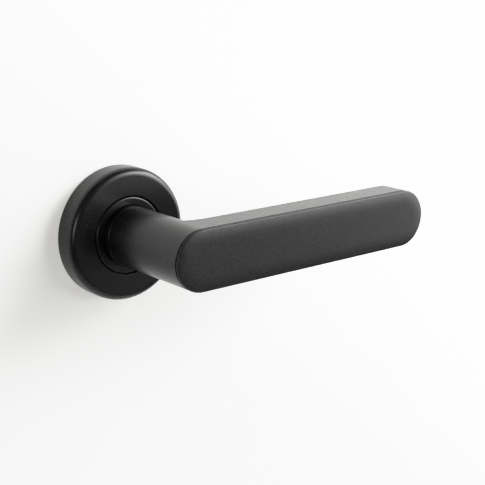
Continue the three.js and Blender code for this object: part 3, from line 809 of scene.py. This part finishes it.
def lever_skin():
    """Journal, neck, fillet and the blade's back half as one skin.

    Columns run from the journal's end to the seam. In the fillet a column follows
    the neck's flare until the blade's side cuts it off; past the neck it crosses
    the blade's flat back, turns over the back edge and runs down the side.
    """
    outline, normals = blade_columns()
    angles = np.arctan2(outline[:, 1], outline[:, 0])
    rays = np.column_stack([np.cos(angles), np.sin(angles)])
    reach = np.linalg.norm(outline, axis=1)

    def lay(points, y):
        heights = np.broadcast_to(np.asarray(y, float), (len(points),))
        return np.column_stack([points[:, 0], heights, points[:, 1]])

    round_part = rounded([
        (0, BODY_HIGH.y),
        (JOURNAL_R, BODY_HIGH.y, 0.35),
        (JOURNAL_R, CLIP_GROOVE_END_Y),
        (CLIP_GROOVE_R, CLIP_GROOVE_END_Y),
        (CLIP_GROOVE_R, CLIP_GROOVE_Y),
        (JOURNAL_R, CLIP_GROOVE_Y),
        (JOURNAL_R, NECK_END_Y),
        (NECK_R, NECK_END_Y, 0.3),
        (NECK_R, RING_LINE_Y + RING_LINE_DEPTH, 0.1),
        (NECK_R - RING_LINE_DEPTH, RING_LINE_Y, 0.06),
        (NECK_R, RING_LINE_Y - RING_LINE_DEPTH, 0.1),
        (NECK_R, -25),
    ])
    rings = [lay(rays * r, y) for r, y in round_part]

    # The flare, eased into the blade's side where the side cuts it off.
    flare_end = NECK_R + NECK_FILLET_R
    cut_share = np.clip((reach - NECK_R) / NECK_FILLET_R, 0, 1)
    for lean in np.linspace(0, math.pi / 2, 25):
        flare = NECK_R + NECK_FILLET_R * (1 - math.cos(lean))
        y = BLADE_BACK_Y + NECK_FILLET_R * (1 - math.sin(lean))
        r = soft_min(flare, reach, 0.7 * cut_share)
        rings.append(lay(rays * r[:, None], y))
    foot = rays * soft_min(flare_end, reach, 0.7 * cut_share)[:, None]

    # The flat back, then the rounding of its edge.
    inset = np.minimum(np.einsum("ij,ij->i", outline - foot, normals), BACK_EDGE_R)
    edge_start = outline - normals * inset[:, None]
    for share in np.linspace(0, 1, 8)[1:]:
        rings.append(lay(foot + (edge_start - foot) * share**2, BLADE_BACK_Y))
    for lean in np.linspace(0, math.pi / 2, 7)[1:]:
        rings.append(lay(
            outline - normals * (inset * (1 - math.sin(lean)))[:, None],
            BLADE_BACK_Y - BACK_EDGE_R * (1 - math.cos(lean)),
        ))

    # The side, down to the seam.
    for y in np.linspace(BLADE_BACK_Y - BACK_EDGE_R, BODY_LOW.y + SEAM_EDGE_R, 6)[1:]:
        rings.append(lay(outline, y))
    for lean in np.linspace(0, math.pi / 2, 4)[1:]:
        rings.append(lay(
            outline - normals * SEAM_EDGE_R * (1 - math.cos(lean)),
            BODY_LOW.y + SEAM_EDGE_R * (1 - math.sin(lean)),
        ))
    return skin(rings)


def dowel_holes(front_y, back_y):
    return [
        prism("cut", circle(DOWEL_R + CLEARANCE, 36, x), front_y, back_y)
        for x in DOWEL_X.values()
    ]


def turn_down(piece, z=0.0):
    """Turns a piece drawn along Y to lie along -Z, and puts it on the grub screw's line."""
    place_at = Matrix.Translation((0, GRUB_Y * MM, z * MM))
    piece.data.transform(place_at @ Matrix.Rotation(-math.pi / 2, 4, "X"))


def lever_body():
    body = solid("body", *lever_skin())
    front_y = BODY_LOW.y - 1
    end_y = BODY_HIGH.y + 1
    socket_y = SPINDLE_LOW.y - CLEARANCE
    socket = prism("cut", rectangle(SOCKET_HALF, SOCKET_HALF), socket_y, end_y)
    flats = [
        prism("cut", rectangle(4, 3 * JOURNAL_R, x), CHAMBER_FRONT_Y, end_y)
        for x in (JOURNAL_FLAT_X + 4, -JOURNAL_FLAT_X - 4)
    ]
    hole_r = GRUB_R + CLEARANCE
    grub_hole = turned("cut", [
        (0, 0),
        (hole_r, 0),
        (hole_r, NECK_R - 0.5),
        (hole_r + 1.5, NECK_R + 1),
        (0, NECK_R + 1),
    ], 64)
    turn_down(grub_hole)
    pad_depth = PAD_HIGH.y - PAD_LOW.y
    pocket_y = PLATE_HIGH.y + pad_depth + 2 * CLEARANCE
    pocket = prism("cut", stadium(PAD_HIGH.z + CLEARANCE), front_y, pocket_y)
    dowels = dowel_holes(front_y, DOWEL_HIGH.y + CLEARANCE)
    carve(body, [socket, *flats, grub_hole, pocket, *dowels])
    place(body, "lever_body", "lever", COAT)


def plate_section():
    """The face plate's section as (inset, y), from the seam to the flat middle: a
    straight side, a small rounded edge, then a crown whose slope dies away."""
    section = []
    for lean in np.linspace(0, math.pi / 2, 4):
        inset = SEAM_EDGE_R * (1 - math.sin(lean))
        section.append((inset, PLATE_HIGH.y - SEAM_EDGE_R * (1 - math.cos(lean))))
    rise = PLATE_CROWN_WIDTH * math.tan(PLATE_CROWN_TILT) / 3
    edge_y = PLATE_LOW.y + rise + PLATE_EDGE_R * math.cos(PLATE_CROWN_TILT)
    for lean in np.linspace(0, math.pi / 2 - PLATE_CROWN_TILT, 10):
        inset = PLATE_EDGE_R * (1 - math.cos(lean))
        section.append((inset, edge_y - PLATE_EDGE_R * math.sin(lean)))
    crown_inset = section[-1][0]
    for share in np.linspace(0, 1, 20)[1:]:
        inset = crown_inset + PLATE_CROWN_WIDTH * share
        section.append((inset, PLATE_LOW.y + rise * (1 - share) ** 3))
    return section


def face_plate():
    outline, normals = blade_columns()
    laid = [
        np.column_stack([
            outline[:, 0] - normals[:, 0] * inset,
            np.full(len(outline), y),
            outline[:, 1] - normals[:, 1] * inset,
        ])
        for inset, y in plate_section()
    ]
    plate = solid("plate", *skin(laid))
    carve(plate, dowel_holes(DOWEL_LOW.y - CLEARANCE, PLATE_HIGH.y + 1))
    place(plate, "face_plate", "lever", FACE_COAT)


def bonding_pad():
    pad = prism("pad", stadium(PAD_HIGH.z), PAD_LOW.y, PAD_HIGH.y)
    carve(pad, dowel_holes(PAD_LOW.y - 1, PAD_HIGH.y + 1))
    soften(pad, 0.12)
    place(pad, "bonding_pad", "lever", FOAM)


def locating_dowels():
    for name, x in DOWEL_X.items():
        node = f"locating_dowel_{name}"
        low, high = span(node)
        dowel = turned("dowel", [
            (0, low.y),
            (DOWEL_R, low.y, 0.35),
            (DOWEL_R, high.y, 0.35),
            (0, high.y),
        ], 48, x)
        place(dowel, node, "lever", ZINC)


def spindle():
    """Square bar with rounded corners and chamfered ends."""
    half = SPINDLE_HIGH.z
    chamfer = 0.6

    def section(inset, y):
        square = rectangle(half - inset, half - inset)
        outline = rounded([(x, z, 0.5) for x, z in square], True, 5)
        return np.array([(x, y, z) for x, z in outline])

    rings = [
        section(chamfer, SPINDLE_LOW.y),
        section(0, SPINDLE_LOW.y + chamfer),
        section(0, SPINDLE_HIGH.y - chamfer),
        section(chamfer, SPINDLE_HIGH.y),
    ]
    bar = soften(solid("spindle_bar", *skin(rings)), 0.1)
    place(bar, "spindle", "lever", ZINC)


def spring_driver():
    """The disc that carries the lever's turn to the spring and to the stop pins."""
    rest = EAR_MIDDLE + TURN / 2
    outline = (
        arc(EAR_R, rest - EAR_HALF, rest + EAR_HALF, 8)
        + arc(DRIVER_R, rest + EAR_HALF, rest - EAR_HALF + FULL_TURN, 100)
    )
    disc = prism("driver", outline, DRIVER_LOW.y, DRIVER_HIGH.y)
    front_y = DRIVER_LOW.y - 1
    back_y = DRIVER_HIGH.y + 1
    flat_x = JOURNAL_FLAT_X + CLEARANCE
    flat_angle = math.acos(flat_x / BORE_R)
    bore = (
        arc(BORE_R, flat_angle, math.pi - flat_angle, 40)
        + arc(BORE_R, math.pi + flat_angle, FULL_TURN - flat_angle, 40)
    )
    hole = prism("cut", bore, front_y, back_y)

    # The notch for the spring's hook, drawn on +X and turned to where the coil ends.
    half_x = SPRING_WIDTH / 2 + CLEARANCE
    half_z = SPRING_HEIGHT / 2 + CLEARANCE
    across, up = on_circle(1, -FULL_TURN * SPRING_TURNS)
    turn = np.array([[across, up], [-up, across]])
    corners = [np.array(corner) @ turn for corner in rectangle(half_x, half_z, SPRING_R)]
    notch = prism("cut", corners, front_y, back_y)
    driver = soften(carve(disc, [hole, notch]), 0.1)
    place(driver, "spring_driver", "lever", ZINC)


def thrust_washer():
    washer = turned("washer", [
        (BORE_R, WASHER_LOW.y, 0.1),
        (WASHER_HIGH.z, WASHER_LOW.y, 0.1),
        (WASHER_HIGH.z, WASHER_HIGH.y, 0.15),
        (BORE_R, WASHER_HIGH.y, 0.15),
    ])
    place(washer, "thrust_washer", "lever", ACETAL)


def circlip():
    inner_r = CLIP_GROOVE_R + CLEARANCE
    band_r = 10.2
    lug_r = 11.2
    eye_r = 0.7
    opening = -math.pi / 2
    half_gap = math.radians(18)
    lug = math.radians(16)
    start = opening + half_gap
    end = opening + FULL_TURN - half_gap
    outline = (
        arc(lug_r, start, start + lug, 8)
        + arc(band_r, start + lug, end - lug, 90)
        + arc(lug_r, end - lug, end, 8)
        + arc(inner_r, end, start, 90)
    )
    clip = prism("clip", outline, CLIP_LOW.y, CLIP_HIGH.y)
    eyes = []
    for angle in (start + lug / 2, end - lug / 2):
        x, z = on_circle((inner_r + lug_r) / 2, angle)
        eyes.append(prism("cut", circle(eye_r, 28, x, z), CLIP_LOW.y - 1, CLIP_HIGH.y + 1))
    place(soften(carve(clip, eyes), 0.1), "circlip", "lever", SPRING_STEEL)


def grub_screw():
    length = GRUB_HIGH.z - GRUB_LOW.z
    angles = np.linspace(0, FULL_TURN, 48, endpoint=False)
    tip = [(0, 0.5), (1.2, 0), (GRUB_R - 1.0, 0), (GRUB_R - 0.3, 0.7)]
    end = [(GRUB_R - 0.5, length), (0, length)]
    rings = [ring(r, y, angles) for r, y in tip]
    rings += threaded(GRUB_R, GRUB_PITCH, 0.9, length - 0.4, angles)
    rings += [ring(r, y, angles) for r, y in end]
    screw = solid("screw", *skin(rings))
    key = prism("key", hexagon(GRUB_KEY), length - 3, length + 1)
    carve(screw, [key])
    turn_down(screw, GRUB_HIGH.z)
    place(screw, "grub_screw", "lever", SPRING_STEEL)


# ---------------------------------------------------------------------------
# Studio: camera, lights, wall and floor

TARGET = Vector((0.03687, -0.03273, -0.00399))

CAMERA_AZIMUTH = -40.05
CAMERA_ELEVATION = 15.02
CAMERA_DISTANCE = 0.459
CAMERA_ROLL = 0.6
CAMERA_LENS = 87.77

# Name, azimuth and elevation in degrees, distance, width, height, radiance.
SOFTBOXES = (
    ("key", 55, 17, 1.7, 1.96, 1.37, 4.1),
    ("key_core", 57, 25, 1.6, 1.29, 0.68, 9.4),
    ("key_spill", 68, -8, 1.75, 1.1, 0.7, 2.0),
    ("low_glow", 18, -24, 1.9, 1.9, 1.0, 0.28),
    ("fill", -47, 6, 2.2, 0.75, 0.75, 4.8),
)

# The wall glows faintly, and more so along a line that rises to the right: painted light.
GLOW_LINE = (0.6, 0.0, 0.8)
GLOW_START, GLOW_END = -0.02, 0.08  # metres along the line
GLOW_AT_START, GLOW_AT_END = 0.36, 0.7

# A value in the scene, and the value it is shown as.
ROLL_OFF = ((0.5, 0.5), (0.75, 0.72), (1.0, 0.86), (1.4, 0.95))
ROLL_OFF_WHITE = 2.0


def from_target(azimuth, elevation, distance):
    """A point seen from the target. Azimuth 0 is straight out of the door, 90 along +X."""
    a, e = math.radians(azimuth), math.radians(elevation)
    level = math.cos(e)
    return TARGET + distance * Vector((math.sin(a) * level, -math.cos(a) * level, math.sin(e)))


def aim(thing, roll=0.0):
    """Turns a camera or a light to look at the target. Roll is in degrees."""
    back = (thing.location - TARGET).normalized()
    right = Vector((0, 0, 1)).cross(back).normalized()
    up = back.cross(right)
    turn = Matrix((right, up, back)).transposed() @ Matrix.Rotation(math.radians(roll), 3, "Z")
    thing.rotation_euler = turn.to_euler()


def add_camera():
    lens = bpy.data.cameras.new("camera")
    lens.lens = CAMERA_LENS
    lens.sensor_width = 36
    lens.clip_start = 0.01
    camera = bpy.data.objects.new("camera", lens)
    camera.location = from_target(CAMERA_AZIMUTH, CAMERA_ELEVATION, CAMERA_DISTANCE)
    aim(camera, CAMERA_ROLL)
    bpy.context.collection.objects.link(camera)
    bpy.context.scene.camera = camera


def add_softbox(name, azimuth, elevation, distance, width, height, radiance):
    """A white area light, sized in metres. Radiance is in watts per square metre and
    steradian."""
    light = bpy.data.lights.new(name, "AREA")
    light.shape = "RECTANGLE"
    light.size = width
    light.size_y = height
    light.energy = radiance * math.pi * width * height
    softbox = bpy.data.objects.new(name, light)
    softbox.location = from_target(azimuth, elevation, distance)
    aim(softbox)
    bpy.context.collection.objects.link(softbox)


def sheet_of(name, corners, material):
    mesh = bpy.data.meshes.new(name)
    mesh.from_pydata(corners, [], [tuple(range(len(corners)))])
    mesh.materials.append(material)
    sheet = bpy.data.objects.new(name, mesh)
    bpy.context.collection.objects.link(sheet)


def add_wall():
    """The door's face, seen from the front only, so that the back of the handle shows."""
    material, tree, shader = new_material("wall_paint_and_painted_light")
    shader.inputs["Base Color"].default_value = (0.79, 0.79, 0.785, 1)
    shader.inputs["Roughness"].default_value = 0.9
    shader.inputs["Specular IOR Level"].default_value = 0.1
    # Painted light: a faint warm glow on the wall, brighter towards the upper right, that lifts
    # its shadows.
    shader.inputs["Emission Color"].default_value = (1.0, 0.985, 0.95, 1)
    space = pattern_space(tree)
    along = tree.nodes.new("ShaderNodeVectorMath")
    along.operation = "DOT_PRODUCT"
    along.inputs[1].default_value = GLOW_LINE
    tree.links.new(space, along.inputs[0])
    distance = along.outputs["Value"]
    glow = spread(tree, distance, GLOW_AT_START, GLOW_AT_END, GLOW_START, GLOW_END)
    tree.links.new(glow, shader.inputs["Emission Strength"])
    side = tree.nodes.new("ShaderNodeNewGeometry")
    clear = tree.nodes.new("ShaderNodeBsdfTransparent")
    mix = tree.nodes.new("ShaderNodeMixShader")
    output = tree.nodes["Material Output"]
    tree.links.new(side.outputs["Backfacing"], mix.inputs["Fac"])
    tree.links.new(shader.outputs["BSDF"], mix.inputs[1])
    tree.links.new(clear.outputs["BSDF"], mix.inputs[2])
    tree.links.new(mix.outputs["Shader"], output.inputs["Surface"])
    left, right, low, high, y = -0.3, 0.42, -0.3, 0.3, 0.0006
    corners = [(left, y, low), (right, y, low), (right, y, high), (left, y, high)]
    sheet_of("wall", corners, material)


def add_floor():
    material, _, shader = new_material("floor_paint")
    shader.inputs["Base Color"].default_value = (0.8, 0.8, 0.79, 1)
    shader.inputs["Roughness"].default_value = 0.9
    reach, z = 0.5, -0.6
    corners = [(-reach, -reach, z), (reach, -reach, z), (reach, reach, z), (-reach, reach, z)]
    sheet_of("floor", corners, material)


def add_world():
    world = bpy.data.worlds.new("studio")
    world.use_nodes = True
    tree = world.node_tree
    light = tree.nodes["Background"]
    light.inputs["Color"].default_value = (1, 1, 1, 1)
    light.inputs["Strength"].default_value = 0.05
    bpy.context.scene.world = world


def roll_off_highlights():
    """Standard colours, with values above about one half eased towards white."""
    view = bpy.context.scene.view_settings
    view.view_transform = "Standard"
    view.use_curve_mapping = True
    mapping = view.curve_mapping
    mapping.white_level = [ROLL_OFF_WHITE] * 3
    curve = mapping.curves[3]  # the one for all three colours together
    curve.points[0].location = (0.0, 0.0)
    curve.points[-1].location = (1.0, 1.0)
    for scene_light, shown in ROLL_OFF:
        curve.points.new(scene_light / ROLL_OFF_WHITE, shown)
    curve.points[0].handle_type = "VECTOR"
    curve.points[1].handle_type = "VECTOR"
    mapping.update()


def studio():
    add_camera()
    for softbox in SOFTBOXES:
        add_softbox(*softbox)
    add_wall()
    add_floor()
    add_world()
    roll_off_highlights()


# ---------------------------------------------------------------------------

rose_cover()
bearing_collar()
base_plate()
backing_plate()
plate_rivets()
stop_pins()
cover_snap_ring()
return_spring()
fixing_bolts()
sleeve_nuts()

lever_body()
face_plate()
bonding_pad()
locating_dowels()
spindle()
spring_driver()
thrust_washer()
circlip()
grub_screw()

studio()
